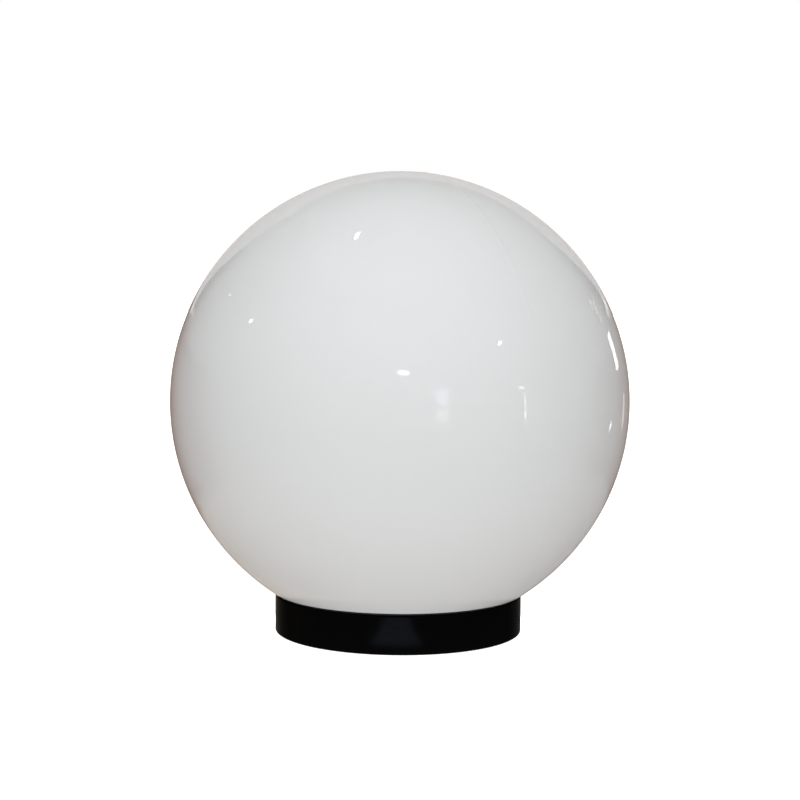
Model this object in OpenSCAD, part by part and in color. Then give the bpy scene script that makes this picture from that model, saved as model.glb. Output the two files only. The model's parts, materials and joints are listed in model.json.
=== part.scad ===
// Globe light for outdoors: an opal ball on a low black base, with a screw-in lamp and its wiring inside.
// Millimetres. The origin is the middle of the base's underside, +Z is up, and the front faces -Y.

/* [Globe] */
// Outer diameter of the ball
globe_d = 300; // [285:1:310]
// Wall of the ball, its shoulder and its neck
globe_wall = 3; // [2.4:0.1:3.6]
// Space between the neck and the base's wall
neck_gap = 3.5; // [2.6:0.1:4.5]
// Space between the neck's lower end and the base's floor
neck_floor_gap = 2.5; // [1.8:0.1:4]
// How far the bead inside the neck's lower end stands in
neck_bead = 1.2; // [0.8:0.1:1.4]
// How far the ball's lower edge stands out past the base
globe_overhang = 1.75; // [1:0.05:3]
// Radius of the ball's lower edge
globe_edge = 2; // [1:0.1:2.5]

/* [Base] */
// Outer diameter of the base
base_d = 162; // [156:1:176]
// Height of the base up to its rim
base_h = 25.2; // [24:0.1:30]
// Wall of the base
base_wall = 3; // [2.5:0.1:3.2]
// Radius of the base's outer edges
base_edge = 1; // [0.5:0.1:1.4]
// Thickness of the base's floor
floor_t = 3; // [2.6:0.1:3.6]
// Depth of the hollow under the floor
foot_h = 2.5; // [2.2:0.1:3]
// Width of the ring that the base stands on
foot_w = 11; // [9.5:0.5:12]
// Height of the bosses and pads on the floor
boss_h = 3; // [2.6:0.1:3.6]
// Thickness of the ribs under the floor
rib_t = 2; // [1.5:0.1:3]

/* [Seals] */
// Thickness of the seal between the rim and the ball
seal_t = 1.6; // [1.2:0.1:2]
// Set-back of the seal from the base's side
seal_inset = 1.2; // [0.8:0.1:1.6]
// Thickness of the seal's inner leg
seal_leg_t = 1.5; // [1:0.1:1.8]
// Length of the seal's inner leg
seal_leg_h = 4; // [3:0.1:5]
// Width of the gasket in the foot ring
gasket_w = 4; // [3:0.1:5]
// Thickness of the gasket in the foot ring
gasket_t = 1.6; // [1.2:0.1:1.8]

/* [Fixings] */
// Diameter of the circle of the three fixing holes
fixing_pcd = 126; // [122:1:128]
// Diameter of the fixing holes
fixing_d = 5.5; // [4.5:0.1:6]
// Diameter of the pads round the fixing holes
fixing_pad_d = 15; // [14.6:0.1:16]
// Diameter of the drain holes
drain_d = 4; // [3:0.1:5]
// Space between the grommet and the foot ring
entry_gap = 7.6; // [6:0.1:10]
// Diameter of the cable's way through the grommet
cable_d = 8; // [6.5:0.1:9]
// Wall of the grommet round the cable
grommet_wall = 3; // [2.5:0.1:3.2]
// How far the grommet's lips overlap the floor
grommet_lip = 2.4; // [1.5:0.1:2.8]

/* [Clips] */
// Width of each spring clip
clip_w = 10; // [8:0.5:12]
// Thickness of the spring strip
clip_t = 0.6; // [0.5:0.05:0.8]
// Height of the clip's nose above the neck's lower end
clip_nose = 9; // [8.6:0.1:10]

/* [Bracket] */
// Width of the lamp holder's bracket
bracket_w = 26; // [24:0.5:28]
// Thickness of the bracket
bracket_t = 1.5; // [1.2:0.1:2]
// Height of the bracket
bracket_h = 6; // [5.5:0.1:8]
// Length of the bracket's top
bracket_top = 54; // [52:0.5:56]
// Length of each foot of the bracket
bracket_foot = 14; // [13:0.5:15]

/* [Lamp holder] */
// Diameter of the holder's lower drum
drum_d = 50; // [49.5:0.5:52]
// Height of the holder's lower drum
drum_h = 12; // [11.5:0.1:12.8]
// Space between the holder's mouth and the lamp's plastic
mouth_gap = 1; // [0.6:0.1:2]
// Wall of the holder's upper tube
tube_wall = 3.4; // [3:0.1:3.6]
// Thickness of the web under the screw shell
web_h = 13; // [12.8:0.1:14]
// Thickness of the holder's brass shell
shell_t = 0.4; // [0.3:0.05:0.5]
// Thickness of the contact strips
strip_t = 0.6; // [0.4:0.05:0.8]
// Width of the contact strips
strip_w = 5.6; // [5:0.1:6]
// Side of the brass terminals in the drum
holder_term = 6.8; // [6.4:0.1:7]

/* [Thread] */
// Pitch of the lamp's screw thread
thread_pitch = 3.629; // [3.4:0.001:3.8]
// Outer diameter of the lamp's thread
thread_d = 26.2; // [26:0.05:26.4]
// Depth of the thread
thread_depth = 1.05; // [0.8:0.05:1.1]
// Space between the lamp's thread and the holder's
thread_gap = 0.3; // [0.25:0.05:0.4]

/* [Lamp] */
// Length of the lamp
lamp_l = 108; // [100:1:118]
// Diameter of the lamp's bulb
lamp_d = 60; // [58:0.5:64]
// Length of the lamp's cap with its tip
cap_l = 26; // [25.5:0.1:27]
// Wall of the lamp's plastic housing
lamp_wall = 1.4; // [1.2:0.1:1.8]
// Wall of the lamp's dome
dome_wall = 1.2; // [1:0.1:1.5]
// Thickness of the board that holds the light chips
led_board_t = 1.5; // [1:0.1:2]
// Diameter of the ring of light chips
led_ring_d = 28; // [24:1:32]
// Number of light chips
led_count = 12; // [8:1:14]
// Thickness of the driver board
driver_t = 1.2; // [1:0.1:1.6]

/* [Wiring] */
// Distance between the poles of the terminal block
pole_pitch = 11; // [10.8:0.1:11.5]
// Length of the terminal block along its wires
block_l = 17; // [16:0.5:18]
// Height of the terminal block
block_h = 14; // [13:0.1:15]
// Outer diameter of the clamping tubes
tunnel_d = 5; // [4.6:0.1:5.2]
// Bore of the clamping tubes
tunnel_bore = 3.4; // [3:0.1:3.6]
// Diameter of the insulated leads
lead_d = 2.4; // [2:0.1:2.8]
// Diameter of the leads' bare ends
core_d = 1.6; // [1.2:0.1:1.8]
// Width of the cord clamp along the cable
clamp_w = 8; // [7:0.5:9]
// Distance between the cord clamp's screws
clamp_span = 19; // [18:0.5:20]
// Thickness of the cord clamp
clamp_t = 3; // [2.5:0.1:3.5]

/* [Screws] */
// Thread diameter of the small screws
screw_d = 3; // [2.6:0.1:3.2]
// Head diameter of the small screws
screw_head_d = 5.6; // [5:0.1:6]
// Head height of the small screws
screw_head_h = 1.8; // [1.5:0.1:2.2]
// Thread diameter of the terminal screws
grub_d = 2.4; // [2:0.1:2.6]
// Head diameter of the terminal screws
grub_head_d = 3.8; // [3.4:0.1:4]

/* [Hidden] */

$fn = 96;

// Clearances
seat = 0.1;        // between a piece and what it rests on in another body
fit = 0.05;        // radial, of a screw or a plug in its hole
pass = 0.2;        // radial, of a screw through a plate
slack = 0.25;      // round a piece in its recess
over = 1;          // how far a cut runs past the face that it opens

// Heights of the base
floor_z = foot_h + floor_t;
boss_z = floor_z + boss_h;
rib_z = 0.4;
hole_z = foot_h + 1;
base_r = base_d / 2;
base_in = base_r - base_wall;
foot_in = base_r - foot_w;

// Ball and neck
globe_r = globe_d / 2;
shoulder_z = base_h + seal_t + seat;
shoulder_r = base_r + globe_overhang;
globe_z = shoulder_z + sqrt(globe_r * globe_r - shoulder_r * shoulder_r);
neck_r = base_in - neck_gap;
neck_in = neck_r - globe_wall;
neck_z = floor_z + neck_floor_gap;

// Places round the floor, as angles
fixing_angles = [0, 120, 240];
clip_angles = [60, 180, 300];
drain_angles = [90, 210, 330];
rib_angles = [0, 60, 120, 180, 240, 300];
entry_angle = 150;
drain_gap = 0.5;
drain_r = foot_in - drain_d / 2 - drain_gap;
clip_run = 9.5;     // from the neck to a clip's screw
clip_end = 4;       // from a clip's screw to its end
clip_screw_r = neck_in - clip_run;
clip_foot_r = clip_screw_r - clip_end;
grommet_r = cable_d / 2 + grommet_wall;
entry_at = foot_in - entry_gap - grommet_r - grommet_lip;

// Bracket
bracket_z = boss_z + bracket_h;
bracket_screw_x = bracket_top / 2 + bracket_foot / 2;
bracket_screw_y = -6;
earth_y = 6.5;
boss_r = 5;

// Lamp holder
holder_z = bracket_z;
web_z = holder_z + web_h;
mouth_z = web_z + cap_l - mouth_gap;
thread_r = thread_d / 2;
shell_r = thread_r + thread_gap;
bore_r = shell_r + shell_t + slack;
tube_r = bore_r + tube_wall;
ledge_r = (tube_r + drum_d / 2) / 2;
term_angles = [35, -35];
term_z = holder_z + 1.6;
term_top = term_z + holder_term;
term_out = ledge_r + holder_term / 2;
channel_h = 2.8;
pocket_r = 7.5;
flange_in = thread_r - 3.6;
rivet_r = thread_r - 1.9;
rivet_d = 2;

// Lamp
tip_z = web_z;
tip_h = 1.6;
cap_top = tip_z + cap_l;
cap_low = tip_z + 5.5;
cap_in = thread_r - thread_depth - 0.6;
lamp_top = tip_z + lamp_l;
lamp_r = lamp_d / 2;
dome_z = lamp_top - lamp_r;
joint_drop = 14;
joint_z = dome_z - joint_drop;
joint_r = sqrt(lamp_r * lamp_r - joint_drop * joint_drop);
spigot_r = cap_in - fit;
spigot_in = spigot_r - 1.2;
board_r = joint_r - lamp_wall - 1;
board_z = joint_z - led_board_t;
driver_low = tip_z + 12;
driver_w = 2 * (spigot_in - fit) - 0.1;

// Terminal block and wiring
block_z = boss_z;
pole_y = [for (i = [0:2]) 33 + i * pole_pitch];
wire_z = block_z + 6;
block_face = block_l / 2;
lead_r = lead_d / 2;
core_r = core_d / 2;
grub_x = 5;
lead_start = block_face + seat;
holder_wire_z = term_z + holder_term / 2;
holder_wire_r = term_out + seat;
block_core = 6.5;
holder_core = 4.5;
ring_core = 3.5;
straight = 5;       // of a lead outside its terminal
ring_z = boss_z + bracket_t;
ring_t = 0.8;
clamp_at = [-24, 34];
clamp_angle = 15;
clamp_screw_pts = [for (s = [-1, 1])
    clamp_at + s * clamp_span / 2 * [-sin(clamp_angle), cos(clamp_angle)]];

// Geometry helpers

function polar(r, a) = [r * cos(a), r * sin(a)];
function arc(c, r, a0, a1, n) = [for (i = [0:n]) c + polar(r, a0 + (a1 - a0) * i / n)];
function turned(v) = [-v[1], v[0]];
function unit(v) = v / norm(v);
function reversed(list) = [for (i = [len(list) - 1:-1:0]) list[i]];

// The normal of a path's stretch that starts at point i, and the path moved sideways by d
function stretch_normal(path, i) = turned(unit(path[i + 1] - path[i]));
function beside(path, d) = [
    for (i = [0:len(path) - 1])
        let (a = stretch_normal(path, max(i - 1, 0)))
        let (b = stretch_normal(path, min(i, len(path) - 2)))
        path[i] + d * (a + b) / (1 + a * b)
];

// Outline of a bent strip of thickness t along a path
module strip_outline(path, t) {
    polygon(concat(beside(path, t / 2), reversed(beside(path, -t / 2))));
}

// A bent strip of width w, its path given as distance from the axis and height
module strip(path, t, w) {
    rotate([90, 0, 0])
        linear_extrude(w, center = true)
            strip_outline(path, t);
}

module ring(r_out, r_in, h) {
    difference() {
        cylinder(r = r_out, h = h);
        translate([0, 0, -over])
            cylinder(r = r_in, h = h + 2 * over);
    }
}

// A box from a low corner to a high corner
module block(low, high) {
    translate(low)
        cube(high - low);
}

module at_polar(r, angles) {
    for (a = angles)
        rotate([0, 0, a])
            translate([r, 0, 0])
                children();
}

// A slotted screw whose head rests on z = 0
module screw(d, l, head_d, head_h) {
    slot_w = 0.8;
    slot_deep = head_h * 0.5;
    difference() {
        union() {
            cylinder(d = head_d, h = head_h, $fn = 48);
            translate([0, 0, -l])
                cylinder(d = d, h = l + head_h / 2, $fn = 48);
        }
        block([-head_d, -slot_w / 2, head_h - slot_deep], [head_d, slot_w / 2, head_h + over]);
    }
}

module small_screw(l) {
    screw(screw_d, l, screw_head_d, screw_head_h);
}

// A blind hole for a small screw, down from z = 0
module pilot(deep) {
    translate([0, 0, -deep])
        cylinder(d = screw_d + 2 * fit, h = deep + over, $fn = 48);
}

// A closed surface through rows of points; every row is a closed loop, and the last row meets the first
module lofted_ring(rows) {
    n = len(rows[0]);
    k = len(rows);
    points = [for (row = rows) for (p = row) p];
    faces = [for (i = [0:k - 1]) for (j = [0:n - 1])
        let (i2 = (i + 1) % k)
        let (j2 = (j + 1) % n)
        for (f = [[i * n + j, i * n + j2, i2 * n + j2], [i * n + j, i2 * n + j2, i2 * n + j]]) f];
    polyhedron(points, faces);
}

// Round thread. The lamp's ends run out at its root and the shell's at its crest, so that they stay clear
// of each other while the lamp turns
thread_sides = 32;
thread_steps = 6;
thread_low = tip_z + 7;
thread_high = mouth_z - 2;
function fade(z) = min(1, max(0, min(z - thread_low, thread_high - z)) / (thread_pitch / 3));
function thread_wave(z, a) = 0.5 + 0.5 * cos(360 * (z - tip_z) / thread_pitch - a);
function plain_row(r, z) = [for (j = [0:thread_sides - 1])
    let (a = 360 * j / thread_sides)
    [r * cos(a), r * sin(a), z]];
function thread_row(root, z, ends) = [for (j = [0:thread_sides - 1])
    let (a = 360 * j / thread_sides)
    let (r = root + thread_depth * (ends + fade(z) * (thread_wave(z, a) - ends)))
    [r * cos(a), r * sin(a), z]];
thread_rows_n = round((thread_high - thread_low) / thread_pitch * thread_steps);
thread_z = [for (i = [0:thread_rows_n])
    thread_low + (thread_high - thread_low) * i / thread_rows_n];
thread_mid = thread_r - thread_depth / 2;
// Makes a polygon of thread_sides clear a circle inside it
wide = 1 / cos(180 / thread_sides);

// A lead swept with 8 sides along a smooth curve through hand-picked points
lead_sides = 8;
lead_steps = 3;
function curve_at(p, q, r, s, t) =
    0.5 * (2 * q + (r - p) * t + (2 * p - 5 * q + 4 * r - s) * t * t + (3 * q - p - 3 * r + s) * t * t * t);
function curve(pts) = concat(
    [for (i = [0:len(pts) - 2]) for (k = [0:lead_steps - 1])
        curve_at(pts[max(i - 1, 0)], pts[i], pts[i + 1], pts[min(i + 2, len(pts) - 1)], k / lead_steps)],
    [pts[len(pts) - 1]]);
function lead_ring(p, dir, r) =
    let (side = unit(cross(dir, [0, 0, 1])))
    let (up = cross(side, dir))
    [for (j = [0:lead_sides - 1])
        let (a = 360 * j / lead_sides)
        p + r * (cos(a) * side + sin(a) * up)];
module lead(pts, r) {
    path = curve(pts);
    k = len(path);
    n = lead_sides;
    first = unit(pts[1] - pts[0]);
    last = unit(pts[len(pts) - 1] - pts[len(pts) - 2]);
    rows = [for (i = [0:k - 1])
        lead_ring(path[i], i == 0 ? first : i == k - 1 ? last : unit(path[i + 1] - path[i - 1]), r)];
    points = [for (row = rows) for (p = row) p];
    sides = [for (i = [0:k - 2]) for (j = [0:n - 1])
        let (a = i * n + j)
        let (b = i * n + (j + 1) % n)
        for (f = [[a, a + n, b + n], [a, b + n, b]]) f];
    start = [for (j = [1:n - 2]) [0, j, j + 1]];
    end = [for (j = [1:n - 2]) [(k - 1) * n, (k - 1) * n + j + 1, (k - 1) * n + j]];
    polyhedron(points, concat(sides, start, end));
}

// Globe

module globe() {
    edge_c = [sqrt(pow(globe_r - globe_edge, 2) - pow(globe_z - shoulder_z - globe_edge, 2)),
              shoulder_z + globe_edge];
    edge_top = globe_z - (globe_z - edge_c[1]) * globe_r / (globe_r - globe_edge);
    bead_z = neck_z + neck_bead + 0.3;
    color("#e9ecec")
        rotate_extrude($fn = 180)
            difference() {
                union() {
                    difference() {
                        translate([0, globe_z])
                            circle(r = globe_r, $fn = 180);
                        translate([0, globe_z])
                            circle(r = globe_r - globe_wall, $fn = 180);
                        translate([-2 * globe_r, shoulder_z - 2 * globe_r])
                            square([4 * globe_r, 2 * globe_r]);
                        translate([-2 * globe_r, -over])
                            square([2 * globe_r, 3 * globe_r]);
                    }
                    translate([neck_in, shoulder_z])
                        square([edge_c[0] - neck_in, globe_wall]);
                    translate([neck_in, neck_z])
                        square([globe_wall, shoulder_z - neck_z + globe_wall]);
                    translate([neck_in, bead_z])
                        circle(r = neck_bead, $fn = 32);
                }
                difference() {
                    translate([edge_c[0], shoulder_z - over])
                        square([globe_edge * 2, edge_top - shoulder_z + over]);
                    translate(edge_c)
                        circle(r = globe_edge, $fn = 48);
                }
            }
}

// Base

module globe_seal() {
    leg_r = base_in - fit;
    color("#1a1a1a")
        rotate_extrude($fn = 180) {
            translate([leg_r - seal_leg_t, base_h])
                square([base_r - seal_inset - leg_r + seal_leg_t, seal_t]);
            translate([leg_r - seal_leg_t, base_h - seal_leg_h])
                square([seal_leg_t, seal_leg_h + seal_t]);
        }
}

module base_shell() {
    rotate_extrude($fn = 180)
        polygon(concat(
            [[0, foot_h], [foot_in, foot_h], [foot_in, 0]],
            arc([base_r - base_edge, base_edge], base_edge, -90, 0, 4),
            arc([base_r - base_edge, base_h - base_edge], base_edge, 0, 90, 4),
            [[base_in, base_h], [base_in, floor_z + 1], [base_in - 1, floor_z], [0, floor_z]]
        ));
}

module base_ribs() {
    rib_mid = 40;
    at_polar(0, rib_angles)
        block([rib_mid / 3, -rib_t / 2, rib_z], [foot_in + 0.5, rib_t / 2, foot_h + 0.5]);
    for (r = [rib_mid / 3, rib_mid])
        translate([0, 0, rib_z])
            ring(r + rib_t / 2, r - rib_t / 2, foot_h - rib_z + 0.5);
}

module base_bosses() {
    sink = 0.5;
    z = floor_z - sink;
    h = boss_h + sink;
    for (s = [-1, 1])
        for (y = [bracket_screw_y, earth_y])
            translate([s * bracket_screw_x, s * y, z])
                cylinder(r = boss_r, h = h, $fn = 48);
    at_polar(0, clip_angles)
        block([clip_foot_r - 0.5, -clip_w / 2 - 0.5, z], [clip_screw_r + 5, clip_w / 2 + 0.5, z + h]);
    for (p = clamp_screw_pts)
        translate([p[0], p[1], z])
            cylinder(r = boss_r - 0.8, h = h, $fn = 48);
    block([-block_face + 1, pole_y[0] - 4, z], [block_face - 1, pole_y[2] + 4, z + h]);
    at_polar(fixing_pcd / 2, fixing_angles)
        cylinder(d = fixing_pad_d, h = floor_z - 0.5);
}

module base_housing() {
    color("#121314")
        difference() {
            union() {
                base_shell();
                base_ribs();
                base_bosses();
            }
            translate([0, 0, -over])
                ring(foot_in + foot_w / 2 + gasket_w / 2 + fit, foot_in + foot_w / 2 - gasket_w / 2 - fit,
                    gasket_t + over);
            at_polar(fixing_pcd / 2, fixing_angles)
                translate([0, 0, -over])
                    cylinder(d = fixing_d, h = floor_z + 2 * over);
            at_polar(drain_r, drain_angles)
                translate([0, 0, -over])
                    cylinder(d = drain_d, h = floor_z + 2 * over);
            at_polar(entry_at, [entry_angle])
                translate([0, 0, -over])
                    cylinder(r = grommet_r + fit, h = floor_z + 2 * over);
            for (s = [-1, 1])
                translate([s * bracket_screw_x, s * bracket_screw_y, boss_z])
                    pilot(boss_z - hole_z);
            translate([bracket_screw_x, earth_y, boss_z])
                pilot(boss_z - hole_z);
            at_polar(clip_screw_r, clip_angles)
                translate([0, 0, boss_z])
                    pilot(boss_z - hole_z);
            for (p = clamp_screw_pts)
                translate([p[0], p[1], boss_z])
                    pilot(boss_z - hole_z);
            translate([0, (pole_y[0] + pole_y[1]) / 2, boss_z])
                pilot(boss_z - hole_z);
        }
}

module mounting_gasket() {
    mid = foot_in + foot_w / 2;
    color("#2b2b2b")
        ring(mid + gasket_w / 2, mid - gasket_w / 2, gasket_t, $fn = 180);
}

module cable_grommet() {
    lip_low = 1.2;
    lip_high = 1.6;
    nose = 3;
    bore = cable_d / 2;
    color("#262626")
        at_polar(entry_at, [entry_angle])
            rotate_extrude()
                polygon([
                    [bore, foot_h - lip_low], [grommet_r + grommet_lip, foot_h - lip_low],
                    [grommet_r + grommet_lip, foot_h], [grommet_r, foot_h], [grommet_r, floor_z],
                    [grommet_r + grommet_lip, floor_z], [grommet_r + grommet_lip - 0.8, floor_z + lip_high],
                    [bore + 2, floor_z + lip_high], [bore + 1, floor_z + lip_high + nose],
                    [bore, floor_z + lip_high + nose]
                ]);
}

// Spring clips

module spring_clips() {
    foot_z = boss_z + clip_t / 2;
    nose_r = sqrt(pow(neck_in - seat, 2) - pow(clip_w / 2, 2)) - clip_t / 2;
    nose_z = neck_z + clip_nose;
    rise_r = neck_in - neck_bead - 2.5;
    path = [
        [clip_foot_r, foot_z], [rise_r - 1.2, foot_z], [rise_r - 0.2, foot_z + 1],
        [rise_r, nose_z - 3.6], [nose_r, nose_z], [nose_r - 2.2, nose_z + 3.4], [nose_r - 2.9, nose_z + 5]
    ];
    color("#c9ccd0")
        at_polar(0, clip_angles)
            difference() {
                strip(path, clip_t, clip_w);
                translate([clip_screw_r, 0, boss_z - over])
                    cylinder(d = screw_d + 2 * pass, h = clip_t + 2 * over, $fn = 48);
            }
}

module clip_screws() {
    color("#b9bcc0")
        at_polar(clip_screw_r, clip_angles)
            translate([0, 0, boss_z + clip_t])
                small_screw(boss_h + clip_t);
}

// Bracket

module holder_bracket() {
    low = boss_z + bracket_t / 2;
    high = bracket_z - bracket_t / 2;
    half = bracket_top / 2 - bracket_t / 2;
    end = bracket_top / 2 + bracket_foot;
    path = [[-end, low], [-half - 1, low], [-half, high], [half, high], [half + 1, low], [end, low]];
    color("#b4b8ba")
        difference() {
            strip(path, bracket_t, bracket_w);
            for (s = [-1, 1])
                translate([s * bracket_screw_x, s * bracket_screw_y, boss_z - over])
                    cylinder(d = screw_d + 2 * pass, h = bracket_t + 2 * over, $fn = 48);
            translate([bracket_screw_x, earth_y, boss_z - over])
                cylinder(d = screw_d + 2 * fit, h = bracket_t + 2 * over, $fn = 48);
            for (s = [-1, 1])
                translate([s * ledge_r, 0, boss_z])
                    cylinder(d = screw_d + 2 * fit, h = bracket_h + over, $fn = 48);
            translate([0, 0, boss_z])
                cylinder(d = bracket_w / 2, h = bracket_h + over);
        }
}

module bracket_screws() {
    color("#b9bcc0")
        for (s = [-1, 1])
            translate([s * bracket_screw_x, s * bracket_screw_y, boss_z + bracket_t])
                small_screw(boss_h + bracket_t);
}

// Lamp holder

module holder_body() {
    chamfer = 1;
    color("#f1ede2")
        difference() {
            rotate_extrude()
                polygon([
                    [0, holder_z], [drum_d / 2 - chamfer, holder_z], [drum_d / 2, holder_z + chamfer],
                    [drum_d / 2, holder_z + drum_h - chamfer], [drum_d / 2 - chamfer, holder_z + drum_h],
                    [tube_r, holder_z + drum_h], [tube_r, mouth_z - chamfer], [tube_r - chamfer, mouth_z],
                    [bore_r, mouth_z], [bore_r, web_z], [0, web_z]
                ]);
            translate([0, 0, term_top])
                cylinder(r = pocket_r, h = web_h);
            for (a = term_angles)
                rotate([0, 0, a]) {
                    block([ledge_r - holder_term / 2 - slack, -holder_term / 2 - slack, term_z - slack],
                        [drum_d, holder_term / 2 + slack, term_top + 0.01]);
                    translate([ledge_r, 0, term_top])
                        cylinder(d = grub_head_d + 4 * fit, h = drum_h);
                }
            rotate([0, 0, term_angles[0]])
                block([flange_in, -strip_w / 2 - slack, term_top], [term_out, strip_w / 2 + slack,
                    term_top + channel_h]);
            rotate([0, 0, term_angles[0]])
                block([flange_in, -strip_w / 2 - slack, term_top], [bore_r - 0.5, strip_w / 2 + slack,
                    web_z + over]);
            rotate([0, 0, term_angles[1]])
                block([0, -strip_w / 2 - slack, term_top], [term_out, strip_w / 2 + slack,
                    term_top + channel_h]);
            for (s = [-1, 1]) {
                translate([s * ledge_r, 0, holder_z - over])
                    cylinder(d = screw_d + 2 * pass, h = web_h, $fn = 48);
                translate([s * ledge_r, 0, holder_z + drum_h - 3])
                    cylinder(d = screw_head_d + 2 * fit, h = drum_h, $fn = 48);
                translate([s * rivet_r, 0, web_z - 5])
                    cylinder(d = rivet_d + 2 * fit, h = 5 + over, $fn = 48);
            }
        }
}

module holder_screws() {
    color("#b9bcc0")
        for (s = [-1, 1])
            translate([s * ledge_r, 0, holder_z + drum_h - 3])
                small_screw(drum_h - 3 + bracket_t + 2);
}

// The brass shell has the lamp's thread on its inside and, one wall further out, on its outside.
// Its inner polygon is drawn round the true circle, so that a turning lamp stays clear of its sides
module holder_shell() {
    root = (thread_r - thread_depth + thread_gap) * wide;
    crest = root + thread_depth;
    lip_z = mouth_z - 1.5;
    color("#d3a94c")
        difference() {
            lofted_ring(concat(
                [plain_row(crest, web_z + shell_t)],
                [for (z = thread_z) thread_row(root, z, 1)],
                [plain_row(crest, lip_z), plain_row(crest + shell_t, lip_z)],
                [for (z = reversed(thread_z)) thread_row(root + shell_t, z, 1)],
                [plain_row(crest + shell_t, web_z), plain_row(flange_in, web_z),
                    plain_row(flange_in, web_z + shell_t)]
            ));
            for (s = [-1, 1])
                translate([s * rivet_r, 0, web_z - over])
                    cylinder(d = rivet_d + 2 * fit, h = shell_t + 2 * over, $fn = 48);
        }
}

module shell_rivets() {
    color("#caa04a")
        for (s = [-1, 1])
            translate([s * rivet_r, 0, web_z + shell_t]) {
                cylinder(d = rivet_d + 0.8, h = 0.6, $fn = 48);
                translate([0, 0, -4])
                    cylinder(d = rivet_d, h = 4.3, $fn = 48);
            }
}

// The strip from the terminal at +35 degrees carries the shell, the one at -35 degrees the lamp's tip
module terminal_strip(path) {
    difference() {
        strip(path, strip_t, strip_w);
        translate([ledge_r, 0, term_top - over])
            cylinder(d = grub_d + 2 * pass, h = strip_t + 2 * over, $fn = 48);
    }
}

module centre_contact() {
    low = term_top + strip_t / 2;
    high = tip_z - 2 * seat - strip_t / 2;
    color("#c98d4b")
        rotate([0, 0, term_angles[1]])
            terminal_strip([[term_out - 0.4, low], [pocket_r + 1.5, low], [2.5, high], [-3.5, high]]);
}

module shell_contact() {
    low = term_top + strip_t / 2;
    high = web_z - strip_t / 2;
    color("#c98d4b")
        rotate([0, 0, term_angles[0]])
            terminal_strip([[term_out - 0.4, low], [bore_r - 1.2, low], [bore_r - 1.6, high],
                [flange_in + 0.4, high]]);
}

module holder_terminals() {
    half = holder_term / 2;
    color("#d3a94c")
        at_polar(ledge_r, term_angles)
            difference() {
                block([-half, -half, term_z], [half, half, term_top]);
                translate([-half + 1.4, 0, holder_wire_z])
                    rotate([0, 90, 0])
                        cylinder(d = core_d + 0.8, h = holder_term, $fn = 48);
                translate([0, 0, holder_wire_z])
                    cylinder(d = grub_d + 2 * fit, h = holder_term, $fn = 48);
            }
}

module holder_terminal_screws() {
    z = term_top + strip_t;
    color("#b9bcc0")
        at_polar(ledge_r, term_angles)
            translate([0, 0, z])
                screw(grub_d, z - holder_wire_z - core_r - fit, grub_head_d, 1.6);
}

// Lamp

module lamp_tip() {
    color("#b7b9bb")
        rotate_extrude()
            polygon([[0, tip_z], [3.2, tip_z], [4.6, tip_z + 0.7], [4.8, tip_z + tip_h], [0, tip_z + tip_h]]);
}

module lamp_insulator() {
    top_r = cap_in - 2 * seat;
    color("#1c1c20")
        rotate_extrude()
            polygon([
                [0, tip_z + tip_h], [6.2, tip_z + tip_h], [top_r - 0.6, cap_low - 0.4], [top_r, cap_low],
                [top_r, cap_low + 1.6], [0, cap_low + 1.6]
            ]);
}

module lamp_cap() {
    root = thread_r - thread_depth;
    color("#c3c6c9")
        lofted_ring(concat(
            [plain_row(cap_in * wide, cap_top), plain_row(cap_in * wide, cap_low)],
            [plain_row(root - 0.1, cap_low), plain_row(root, cap_low + 0.8)],
            [for (z = thread_z) thread_row(root, z, 0)],
            [plain_row(thread_mid + 0.3, cap_top - 2), plain_row(thread_mid + 0.3, cap_top)]
        ));
}

// Outline of the lamp's housing, from the cap up to the dome; inset by d
function housing_side(d) =
    let (p0 = [thread_mid + 0.7, cap_top])
    let (p1 = [thread_mid + 1.2, cap_top + (joint_z - cap_top) * 0.42])
    let (p2 = [joint_r, joint_z] - 0.42 * (joint_z - cap_top) * unit([joint_drop, joint_r]))
    let (p3 = [joint_r, joint_z])
    [for (i = [0:10])
        let (t = i / 10)
        let (u = 1 - t)
        u * u * u * p0 + 3 * u * u * t * p1 + 3 * u * t * t * p2 + t * t * t * p3 - [d, 0]];

module lamp_housing() {
    web = 1.5;
    spigot_z = tip_z + 14;
    ledge_h = 2;
    color("#f4f4f1") {
        rotate_extrude()
            polygon(concat([[spigot_in, cap_top]], housing_side(0), reversed(housing_side(lamp_wall)),
                [[spigot_in, cap_top + web]]));
        translate([0, 0, spigot_z])
            ring(spigot_r, spigot_in, cap_top + web - spigot_z);
        translate([0, 0, board_z - ledge_h])
            ring(board_r + 1.6, board_r - 2, ledge_h);
    }
}

module lamp_dome() {
    color("#f2f3f0")
        rotate_extrude()
            difference() {
                translate([0, dome_z])
                    circle(r = lamp_r);
                translate([0, dome_z])
                    circle(r = lamp_r - dome_wall);
                translate([-2 * lamp_r, joint_z + seat - 4 * lamp_r])
                    square(4 * lamp_r);
                translate([-4 * lamp_r, joint_z - 2 * lamp_r])
                    square([4 * lamp_r, 6 * lamp_r]);
            }
}

module led_board() {
    color("#e6e6e2")
        translate([0, 0, board_z])
            cylinder(r = board_r, h = led_board_t);
}

module led_chips() {
    color("#efd66b")
        for (i = [0:led_count - 1])
            rotate([0, 0, 360 * i / led_count])
                translate([led_ring_d / 2, 0, board_z + led_board_t])
                    block([-1.4, -1.7, 0], [1.4, 1.7, 0.8]);
}

module driver_board() {
    color("#2f6b3c")
        block([-driver_w / 2, -driver_t / 2, driver_low], [driver_w / 2, driver_t / 2, board_z]);
}

module driver_capacitor() {
    color("#22303f")
        translate([0, driver_t / 2 + 4, cap_top + 5])
            cylinder(r = 4, h = 12);
}

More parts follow.
